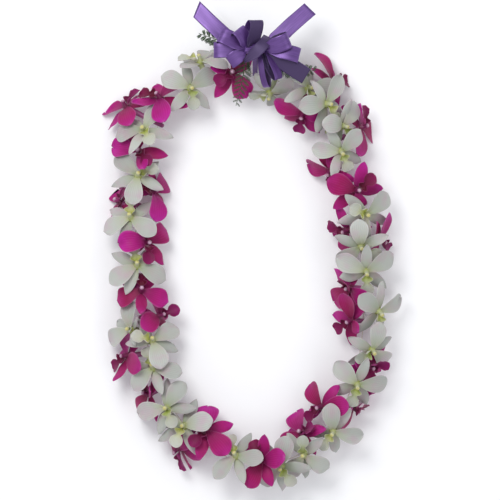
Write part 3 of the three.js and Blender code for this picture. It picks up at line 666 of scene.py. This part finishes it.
# The parts: angle round the throat, length, width, slope at root and tip, cup, twist, height, form.
PARTS = [
    (28, 31, 22, (13, -30), 0.14, 9, 1.1, "petal"),
    (152, 31, 22, (13, -30), 0.14, -9, 1.1, "petal"),
    (90, 29, 12.5, (2, -28), -0.1, 6, -0.7, "sepal"),
    (-46, 29, 13, (-2, -30), -0.1, -10, -0.8, "sepal"),
    (226, 29, 13, (-2, -30), -0.1, 10, -0.8, "sepal"),
    (-90, 23, 14.5, (34, -16), 0.4, 0, 0, "lip"),
]
ROOT_OUT, RUFFLE_HIGH, RUFFLE_RATE = 0.6, 0.9, 4.5
NECK_TIP, NECK_PAST, NECK_GAP, PUSHES = 9, 5.5, 12.5, 60
# How far, in mm, petals keep from other things, and how far round a bloom those are looked for.
CLEAR, NEAR, ROUNDS = 3, 46, 3
TIE_ROOM, STEM_ROOM, NECK_ROOM = 3.5, 0.5, 2.4
# The table presses what would be lower, and under the bow nothing rises past the roof.
PRESS_FROM, PRESS_TO = 8, -2
ROOF_AT, ROOF_HALF, ROOF_Z = (256, 58), (58, 42), 47


def turned_about(v, axis, angle):
    across_it = np.cross(axis, v) * math.sin(angle)
    return v * math.cos(angle) + across_it + axis * dot(axis, v) * (1 - math.cos(angle))


blooms = []
for rank, row in enumerate(WHITE + MAGENTA):
    kind = "white" if rank < len(WHITE) else "magenta"
    throat = placed(row[0], row[1], THREAD_Z + row[2])
    s = nearest_on_loop(throat)
    at, tangent = along_loop(s)
    off = throat - at
    away = off - tangent * dot(tangent, off)
    out = unit(away)
    reach = np.linalg.norm(away)
    if reach < LEAST_REACH[kind]:
        throat = throat + out * (LEAST_REACH[kind] - reach)
    w = unit(out + tangent * LEAN + UP * SKY[kind])
    if kind == "white":
        roll = math.radians(row[3])
        v = vec(math.cos(roll), math.sin(roll), 0)
        v = unit(v - w * dot(v, w))
    else:
        v = unit(tangent - w * dot(tangent, w))
        v = turned_about(v, w, math.radians(GOLDEN_ANGLE * rank))
    drift = math.atan2(dot(tangent, v), dot(tangent, np.cross(v, w))) / (math.pi / 3)
    v = turned_about(v, w, (drift - math.floor(drift) - 0.5) * (math.pi / 3))
    turn = GOLDEN_SHARE * (rank + 1)
    size = LEAST_SIZE + SIZE_SPREAD * (turn - math.floor(turn))
    phase = RUFFLE_STEP * rank
    way = dict(u=np.cross(v, w), v=v, w=w)
    blooms.append(dict(kind=kind, rank=rank, throat=throat, s=s, size=size, phase=phase, **way))
order = sorted(blooms, key=lambda b: b["s"])
for _ in range(PUSHES):
    for i, a in enumerate(order):
        b = order[(i + 1) % len(order)]
        gap = b["s"] + (ROUND if i + 1 == len(order) else 0) - a["s"]
        push = max(0, NECK_GAP - gap) / 2
        a["s"] -= push
        b["s"] += push
for b in blooms:
    b["pierce"] = along_loop(b["s"])[0]
    back = unit(b["pierce"] - b["throat"])
    b["end"] = b["pierce"] + back * NECK_PAST
    b["tip"] = b["throat"] + b["w"] * NECK_TIP


def outline(form, t):
    def oval(x, power):
        return np.maximum(0, 1 - (2 * x - 1) ** 2) ** power

    if form == "petal":
        return oval(t**1.7, 0.62) + 0.14 * (1 - t) ** 3
    if form == "sepal":
        return oval(t**1.05, 0.75) + 0.2 * (1 - t) ** 3
    sides = 0.8 * np.exp(-(((t - 0.33) / 0.12) ** 2))
    middle = 0.92 * oval(np.clip((t - 0.46) / 0.54, 0, 1), 0.6)
    return np.maximum(np.maximum(sides, middle), 0.24 * (1 - t))


def part_points(bloom, part, pose, t, s, over_more=0):
    """Places on a part's middle surface, for arrays of t along it and s from edge to edge."""
    around, long, wide, rise, cup, twist, root_up, form = part
    scale, more_bend, more_lift, swing = pose
    size = bloom["size"] * scale
    start = math.radians(rise[0] + more_lift)
    whole = math.radians(rise[1] + more_bend) - start
    bend = 0.01 if abs(whole) < 0.01 else whole
    slope = start + bend * t
    out = ROOT_OUT + long * size * (np.sin(slope) - math.sin(start)) / bend
    up = root_up - long * size * (np.cos(slope) - math.cos(start)) / bend
    half = wide / 2 * size * outline(form, t) * s
    turn = math.radians(twist) * t
    wave = 0 if form == "lip" else np.sin(RUFFLE_RATE * t + bloom["phase"]) * s * s * s * t
    side = half * np.cos(turn)
    over = half * np.sin(turn) + cup * half * s + RUFFLE_HIGH * wave + over_more
    far = out - np.sin(slope) * over
    at = math.radians(around + swing)
    u = far * math.cos(at) - side * math.sin(at)
    v = far * math.sin(at) + side * math.cos(at)
    p = (
        bloom["throat"]
        + u[..., None] * bloom["u"]
        + v[..., None] * bloom["v"]
        + (up + np.cos(slope) * over)[..., None] * bloom["w"]
    )
    room = PRESS_FROM - PRESS_TO
    low = PRESS_TO + room * np.exp(np.minimum(0, p[..., 2] - PRESS_FROM) / room)
    p[..., 2] = np.where(p[..., 2] >= PRESS_FROM, p[..., 2], low)
    return p


# What the petals keep clear of: thread, ribbons, tie, ferns and necks, as points with a radius. The last
# number is the rank of the bloom whose neck it is, as a bloom needn't keep clear of its own, or else -1.
kept = [(*along_loop(s)[0], 0, -1) for s in np.arange(0, ROUND, 2)]
coarse = [loop_stations(*one, 8) for one in LOOPS] + [tail_stations(*one, 6) for one in TAILS]
for at, width, wide, _, _ in [q for stations in coarse for q in stations]:
    kept += [(*(at + width * k * wide), 0, -1) for k in (-0.5, 0, 0.5)]
kept += [(*p, TIE_ROOM, -1) for p in np.linspace(tie_foot, waist, 7)]
for name, (_, leaf, _) in FERNS.items():
    kept += [(*fern_curves[name].at(i / 20), STEM_ROOM, -1) for i in range(21)]
    for t in np.linspace(LEAF_FROM, LEAF_TO, SOLID_PAIRS):
        for side in (-1, 1):
            at, out, long = leaf_at(fern_curves[name], leaf, t, side)
            kept += [(*(at + out * k * long), 0, -1) for k in (0.5, 1)]
for b in blooms:
    kept += [(*p, NECK_ROOM, b["rank"]) for p in np.linspace(b["tip"], b["end"], 11)]
kept = np.array(kept)

# Every pose that a petal may take: its scale, and in degrees more bend, more lift and a swing aside.
poses = [
    (scale, bend, lift, swing)
    for scale in (1, 0.86, 0.72, 0.6)
    for bend in (0, 14, -14, 28, -28, 42, -42, 60, -60)
    for lift in (0, 12, -12, 24)
    for swing in (0, 9, -9, 18, -18, 26, -26)
]


def unrest(pose):
    """How far a pose is from the calm one. The small offsets settle which of two like poses goes first."""
    scale, bend, lift, swing = pose
    return abs(bend) / 14 + abs(lift + 0.1) / 10 + abs(swing + 0.1) / 9 + (1 - scale) * 30


poses.sort(key=unrest)
PROBE_T, PROBE_S = np.meshgrid(0.14 + 0.86 * np.arange(9) / 8, 2 * np.arange(7) / 6 - 1, indexing="ij")
roof = placed(*ROOF_AT, ROOF_Z)


def room_round(lots, near, middle):
    """The least room of each lot of points, from points with a radius and from the roof."""
    p = lots - middle
    q = near[:, :3] - middle
    gap = (p * p).sum(-1)[..., None] + (q * q).sum(-1) - 2 * p @ q.T
    least = (np.sqrt(np.maximum(gap, 0)) - near[:, 3]).min(axis=(1, 2))
    spot = ((lots[..., 0] - roof[0]) / ROOF_HALF[0]) ** 2 + ((lots[..., 1] - roof[1]) / ROOF_HALF[1]) ** 2
    under = np.where(spot < 1, CLEAR + roof[2] - lots[..., 2], np.inf).min(axis=1)
    return np.minimum(least, under)


held = [[None] * len(PARTS) for _ in blooms]
for turn in range(ROUNDS):
    for bloom in blooms:
        mine = bloom["rank"]
        others = [one[1] for r, row in enumerate(held) if r != mine for one in row if one]
        others = [np.c_[points, np.zeros((PROBE_T.size, 2))] for points in others]
        near = np.concatenate([kept[kept[:, 4] != mine], *others])
        near = near[((near[:, :3] - bloom["throat"]) ** 2).sum(1) < NEAR * NEAR]
        for k, part in enumerate(PARTS):

            def tried(some):
                lots = [part_points(bloom, part, pose, PROBE_T, PROBE_S).reshape(-1, 3) for pose in some]
                return lots, room_round(np.stack(lots), near, bloom["throat"])

            if held[mine][k] and tried([held[mine][k][0]])[1][0] >= CLEAR:
                continue
            best, most, at, lot = None, -np.inf, 0, 1
            while at < len(poses) and most < CLEAR:
                some = poses[at : at + lot]
                lots, rooms = tried(some)
                for pose, points, free in zip(some, lots, rooms):
                    if free > most:
                        best, most = (pose, points), free
                    if most >= CLEAR:
                        break
                at += lot
                lot = min(28, lot * 4)
            held[mine][k] = best


def shell(middle, normal, half_thick):
    """A thin closed leaf from a grid of places on its middle surface: points and faces."""
    rows, columns = middle.shape[:2]
    off = normal * half_thick
    points = np.concatenate([(middle + off).reshape(-1, 3), (middle - off).reshape(-1, 3)])
    i, j = np.meshgrid(np.arange(rows - 1), np.arange(columns - 1), indexing="ij")
    a = (i * columns + j).ravel()
    below = rows * columns
    quads = [np.stack([a, a + 1, a + columns + 1, a + columns], 1)]
    quads.append(np.stack([a, a + columns, a + columns + 1, a + 1], 1) + below)
    left = np.arange(rows - 1) * columns
    right = left + columns - 1
    first = np.arange(columns - 1)
    last = first + (rows - 1) * columns
    quads.append(np.stack([left, left + columns, left + columns + below, left + below], 1))
    quads.append(np.stack([right, right + below, right + columns + below, right + columns], 1))
    quads.append(np.stack([first, first + below, first + 1 + below, first + 1], 1))
    quads.append(np.stack([last, last + 1, last + 1 + below, last + below], 1))
    return points, np.concatenate(quads)


# How far, in mm, a petal's edges roll, its tip turns up or down, its midrib sinks and its rim ripples.
CURL, DROOP, MIDRIB, RIPPLE = 2.1, 1.6, 0.45, 0.45
# How far, in mm, a lip's sides stand up, its crest rises and its front edge frills.
UPRIGHT, CREST, FRILL = 3.4, 0.8, 0.5
# Half of a petal's thickness at its rim, and what the middle has more.
THIN, THICKER = 0.12, 0.26
# White petals are slimmer than magenta ones, and every petal comes to a blunt point.
SLIM, POINTED = {"white": 0.86, "magenta": 0.97}, 0.22
# Rows along and columns across the mesh of each form.
GRID = {"petal": (20, 13), "sepal": (17, 9), "lip": (24, 15)}


def blade(bloom, part, pose):
    """One sepal, petal or lip: points, faces, UV (u along it, v from edge to edge) and what is its back."""
    form = part[-1]
    rows, columns = GRID[form]
    even = np.linspace(0, 1, rows)
    t = 0.998 * (0.5 * even + 0.5 * (1 - (1 - even) ** 1.8))
    s = np.sin(np.linspace(-1, 1, columns) * np.pi / 2)
    t, s = np.meshgrid(t, s, indexing="ij")
    more = -MIDRIB * np.exp(-((s / 0.14) ** 2)) * (1 - 0.7 * t)
    if form != "lip":
        curl = math.sin(1.7 * bloom["phase"] + 0.9 * part[0])
        droop = math.sin(2.9 * bloom["phase"] + 1.3 * part[0])
        more = more + CURL * curl * s * s * t + DROOP * droop * np.clip((t - 0.55) / 0.45, 0, 1) ** 2
        more = more + RIPPLE * s**4 * np.sin(13 * t + 3 * bloom["phase"]) * t
    else:
        upright = np.exp(-(((t - 0.33) / 0.16) ** 2)) * s**4
        crest = np.exp(-(((t - 0.34) / 0.2) ** 2)) * np.exp(-((s / 0.34) ** 2)) * np.cos(9 * s) ** 2
        frill = np.clip((t - 0.5) / 0.3, 0, 1) * s**4 * np.sin(34 * t + bloom["phase"])
        more = UPRIGHT * upright + CREST * crest + FRILL * frill
    slim = SLIM[bloom["kind"]] if form != "lip" else 1
    point = 1 - POINTED * np.clip((t - 0.7) / 0.3, 0, 1) ** 2 if form == "petal" else 1
    middle = part_points(bloom, (*part[:2], part[2] * slim, *part[3:]), pose, t, s * point, more)
    over = np.gradient(middle, axis=0)
    side = np.gradient(middle, axis=1)
    normal = np.cross(over, side)
    size = np.linalg.norm(normal, axis=2)[..., None]
    normal = np.where(size > 1e-6, normal / np.maximum(size, 1e-9), 0)
    normal[-1] = normal[-2]
    thick = (THIN + THICKER * (1 - s**2) * (1 - 0.5 * t))[..., None]
    points, faces = shell(middle, normal, thick)
    uv = np.stack([t, 0.5 + 0.5 * s], axis=-1).reshape(-1, 2)
    return points, faces[:, ::-1].tolist(), np.concatenate([uv, uv]), np.repeat([0.0, 1.0], len(uv))


# Rings of the neck from its cut end, of the throat and of the capped column: how far, and radius.
NECK_END = [(0.0, 0.3), (0.2, 1.3), (0.9, 2.1), (2.6, 2.4), (5.5, 2.5)]
THROAT = [(-1.8, 3.7), (0, 4.0), (1.6, 3.2), (3.4, 2.3)]
COLUMN = [(5.2, 2.0), (6.8, 2.05), (7.8, 2.35), (8.6, 2.2), (9.3, 1.3), (9.6, 0.3)]
NECK_LEFT, COLUMN_BOW, COLUMN_SIDES = 4, 0.022, 14


def column_and_neck(bloom):
    """One smooth tube from the cut end of the neck to the cap of the column."""
    throat, w, v, end = bloom["throat"], bloom["w"], bloom["v"], bloom["end"]
    back = unit(end - throat)
    long = np.linalg.norm(end - throat)
    rings = [(end - back * far, radius) for far, radius in NECK_END]
    far, radius = NECK_END[-1]
    rings += [(end - back * (far + (long - far - NECK_LEFT) * k), radius + 0.5 * k) for k in (0.35, 0.7, 1.0)]
    rings += [(throat + w * far, radius) for far, radius in THROAT]
    rings += [(throat + w * far - v * COLUMN_BOW * far * far, radius) for far, radius in COLUMN]
    centres = np.array([r[0] for r in rings])
    radii = np.array([r[1] for r in rings])
    along = np.gradient(centres, axis=0)
    along /= np.linalg.norm(along, axis=1)[:, None]
    first = bloom["u"] - along * (along @ bloom["u"])[:, None]
    first /= np.linalg.norm(first, axis=1)[:, None]
    second = np.cross(along, first)
    a = 2 * np.pi * np.arange(COLUMN_SIDES) / COLUMN_SIDES
    points = centres[:, None] + radii[:, None, None] * (
        first[:, None] * np.cos(a)[None, :, None] + second[:, None] * np.sin(a)[None, :, None]
    )
    n = len(rings)
    uv = np.stack(np.broadcast_arrays((np.arange(n) / (n - 1))[:, None], (a / (2 * np.pi))[None]), -1)
    faces = tube_faces(n, COLUMN_SIDES)
    return points.reshape(-1, 3), faces, uv.reshape(-1, 2), np.zeros(n * COLUMN_SIDES)


BACK_SHARE, VEINS = 0.55, 9


def petal_material(name, stops, vein, vein_share, rim, rim_share, blush, blush_share):
    """A fresh orchid petal, coloured from root to tip, with veins, a paler rim and tip that are partly its
    own margin and partly painted highlight, soft blotches 11 mm wide and a paler back. Veins, rim and
    blotches each come with a colour and its greatest share."""
    glow = {"Subsurface Weight": 0.15, "Subsurface Radius": (0.0025, 0.0018, 0.0014)}
    skin = {"Roughness": 0.5, "Specular IOR Level": 0.18, "Sheen Weight": 0.05, **glow}
    made, tree, surface = material(name, skin)
    spot = add(tree, "ShaderNodeUVMap", uv_map="surface")
    split = add(tree, "ShaderNodeSeparateXYZ", {"Vector": spot})
    t, s = split.node.outputs[:2]
    place = add(tree, "ShaderNodeTexCoord", out="Object")
    soft = add(tree, "ShaderNodeTexNoise", {"Vector": place, "Scale": 90.0, "Detail": 3.0})
    colour = add(tree, "ShaderNodeValToRGB", {"Fac": t}, stops)
    # Veins run from root to tip, spread by the petal's width, and wander a little.
    wander = add(tree, "ShaderNodeMath", {0: soft, 1: 0.06, 2: s}, operation="MULTIPLY_ADD")
    line = add(tree, "ShaderNodeMath", {0: wander, 1: VEINS * math.pi}, operation="MULTIPLY")
    for step in ("SINE", "ABSOLUTE"):
        line = add(tree, "ShaderNodeMath", {0: line}, operation=step)
    line = add(tree, "ShaderNodeMapRange", {"Value": line, "From Min": 0.42, "From Max": 0.0})
    # The rim and the tip are painted paler: partly the petal's own pale margin, partly painted highlight
    # along its edge.
    edge = add(tree, "ShaderNodeMath", {0: s, 1: 0.5}, operation="SUBTRACT")
    edge = add(tree, "ShaderNodeMath", {0: edge}, operation="ABSOLUTE")
    edge = add(tree, "ShaderNodeMapRange", {"Value": edge, "From Min": 0.43, "From Max": 0.5})
    tip = add(tree, "ShaderNodeMapRange", {"Value": t, "From Min": 0.93, "From Max": 1.0})
    edge = add(tree, "ShaderNodeMath", {0: edge, 1: tip}, operation="MAXIMUM")
    patch = add(tree, "ShaderNodeMapRange", {"Value": soft, "From Min": 0.45, "From Max": 0.75})
    back = add(tree, "ShaderNodeAttribute", attribute_name="back", out="Fac")
    for at, most, tint in [
        (line, vein_share, vein), (edge, rim_share, rim), (patch, blush_share, blush), (back, BACK_SHARE, rim)
    ]:
        share = add(tree, "ShaderNodeMath", {0: at, 1: most}, operation="MULTIPLY")
        tinted = {"Factor": share, "A": colour, "B": linear(tint)}
        colour = add(tree, "ShaderNodeMix", tinted, data_type="RGBA")
    # Petals differ a little in hue and brightness, by their tone.
    tone = add(tree, "ShaderNodeAttribute", attribute_name="tone", out="Fac")
    hue = add(tree, "ShaderNodeMapRange", {"Value": tone, "To Min": 0.518, "To Max": 0.486})
    tone = add(tree, "ShaderNodeMapRange", {"Value": tone, "To Min": 0.88, "To Max": 1.1})
    colour = add(tree, "ShaderNodeHueSaturation", {"Hue": hue, "Color": colour, "Value": tone})
    tree.links.new(colour, surface.inputs["Base Color"])
    # The skin's cells glisten, drawn 0.9 mm wide so that they show, and the veins are faint ridges.
    cells = add(tree, "ShaderNodeTexNoise", {"Vector": place, "Scale": 1100.0, "Detail": 2.0})
    height = add(tree, "ShaderNodeMath", {0: cells, 1: 0.4, 2: line}, operation="MULTIPLY_ADD")
    bump = add(tree, "ShaderNodeBump", {"Height": height, "Strength": 0.3, "Distance": 0.00015})
    tree.links.new(bump, surface.inputs["Normal"])
    return made


# White dendrobium petals: cool white, faintly green at the root and pink in patches, and waxy, with paler
# rims that are partly painted highlight.
white_petal = petal_material(
    "white orchid petal",
    [(0.0, "#9aa263"), (0.2, "#a3a993"), (0.55, "#abaea6"), (1.0, "#b2b4ae")],
    "#8d8a86", 0.5, "#c9c4c4", 0.55, "#b592a4", 0.5,
)
white_lip = petal_material(
    "white orchid lip",
    [(0.0, "#8f9a3e"), (0.25, "#a3ac55"), (0.42, "#adb286"), (0.62, "#b0b3a4"), (1.0, "#b6b8b1")],
    "#8a9340", 0.4, "#c8c4be", 0.4, "#b5a39c", 0.3,
)
# Magenta dendrobium petals: deep red-purple, and darkest at the throat, which is partly their own colour and
# partly painted shade. They have paler veins, and paler margins that are partly painted highlight.
magenta_petal = petal_material(
    "magenta orchid petal",
    [(0.0, "#5c0934"), (0.22, "#820a50"), (0.6, "#9b0a64"), (1.0, "#a8167f")],
    "#b04a8c", 0.34, "#bd6ba2", 0.4, "#7a0b45", 0.45,
)
magenta_lip = petal_material(
    "magenta orchid lip",
    [(0.0, "#c4a2b4"), (0.25, "#5e0a30"), (0.5, "#690a3e"), (1.0, "#830f57")],
    "#4a0628", 0.5, "#a04078", 0.3, "#560830", 0.3,
)


def column_material(name, stops, spot_colour):
    """The neck, throat and column: one fleshy piece with a cap, with small dark spots 1.4 mm apart."""
    fleshy = {"Roughness": 0.45, "Subsurface Weight": 0.2, "Subsurface Radius": (0.002, 0.002, 0.001)}
    made, tree, surface = material(name, fleshy)
    spot = add(tree, "ShaderNodeUVMap", uv_map="surface")
    t = add(tree, "ShaderNodeSeparateXYZ", {"Vector": spot})
    colour = add(tree, "ShaderNodeValToRGB", {"Fac": t}, stops)
    place = add(tree, "ShaderNodeTexCoord", out="Object")
    dots = add(tree, "ShaderNodeTexVoronoi", {"Vector": place, "Scale": 700.0})
    dots = add(tree, "ShaderNodeMapRange", {"Value": dots, "From Min": 0.22, "From Max": 0.12})
    high = add(tree, "ShaderNodeMapRange", {"Value": t, "From Min": 0.62, "From Max": 0.7})
    share = add(tree, "ShaderNodeMath", {0: dots, 1: high}, operation="MULTIPLY")
    spotted = {"Factor": share, "A": colour, "B": linear(spot_colour)}
    colour = add(tree, "ShaderNodeMix", spotted, data_type="RGBA")
    tree.links.new(colour, surface.inputs["Base Color"])
    return made


white_column = column_material(
    "white orchid column",
    [(0.0, "#87955e"), (0.35, "#a6ad8b"), (0.55, "#98a04f"), (0.8, "#b5b89c"), (1.0, "#c2b96a")], "#7c4a40",
)
magenta_column = column_material(
    "magenta orchid column",
    [(0.0, "#7f3462"), (0.35, "#8f4474"), (0.55, "#5c0a30"), (0.8, "#741c54"), (1.0, "#c9a9bb")], "#44061f",
)

counts = {"white": 0, "magenta": 0}
skins = {
    "white": [white_petal, white_lip, white_column],
    "magenta": [magenta_petal, magenta_lip, magenta_column],
}
for bloom in order:
    kind = bloom["kind"]
    counts[kind] += 1
    name = f"{kind}_{counts[kind]:02d}"
    lots, skin_of, tones, backs = [], [], [], []
    for k, part in enumerate([*PARTS, None]):
        if part:
            points, faces, uv, back = blade(bloom, part, held[bloom["rank"]][k][0])
            skin = 1 if part[-1] == "lip" else 0
            share = GOLDEN_SHARE * (7 * bloom["rank"] + k)
            tone = share - math.floor(share)
        else:
            points, faces, uv, back = column_and_neck(bloom)
            skin, tone = 2, 0.5
        lots.append((points, faces, uv))
        skin_of += [skin] * len(faces)
        tones += [tone] * len(points)
        backs.append(back)
    points, faces, uv = joined(lots)
    # No point goes below the table.
    points[:, 2] = np.maximum(points[:, 2], 0.02)
    values = {"tone": tones, "back": np.concatenate(backs)}
    made = piece(f"orchid_{name}", points, faces, skins[kind], uv, values, skin_of)
    dress(made, f"bloom_{name}")
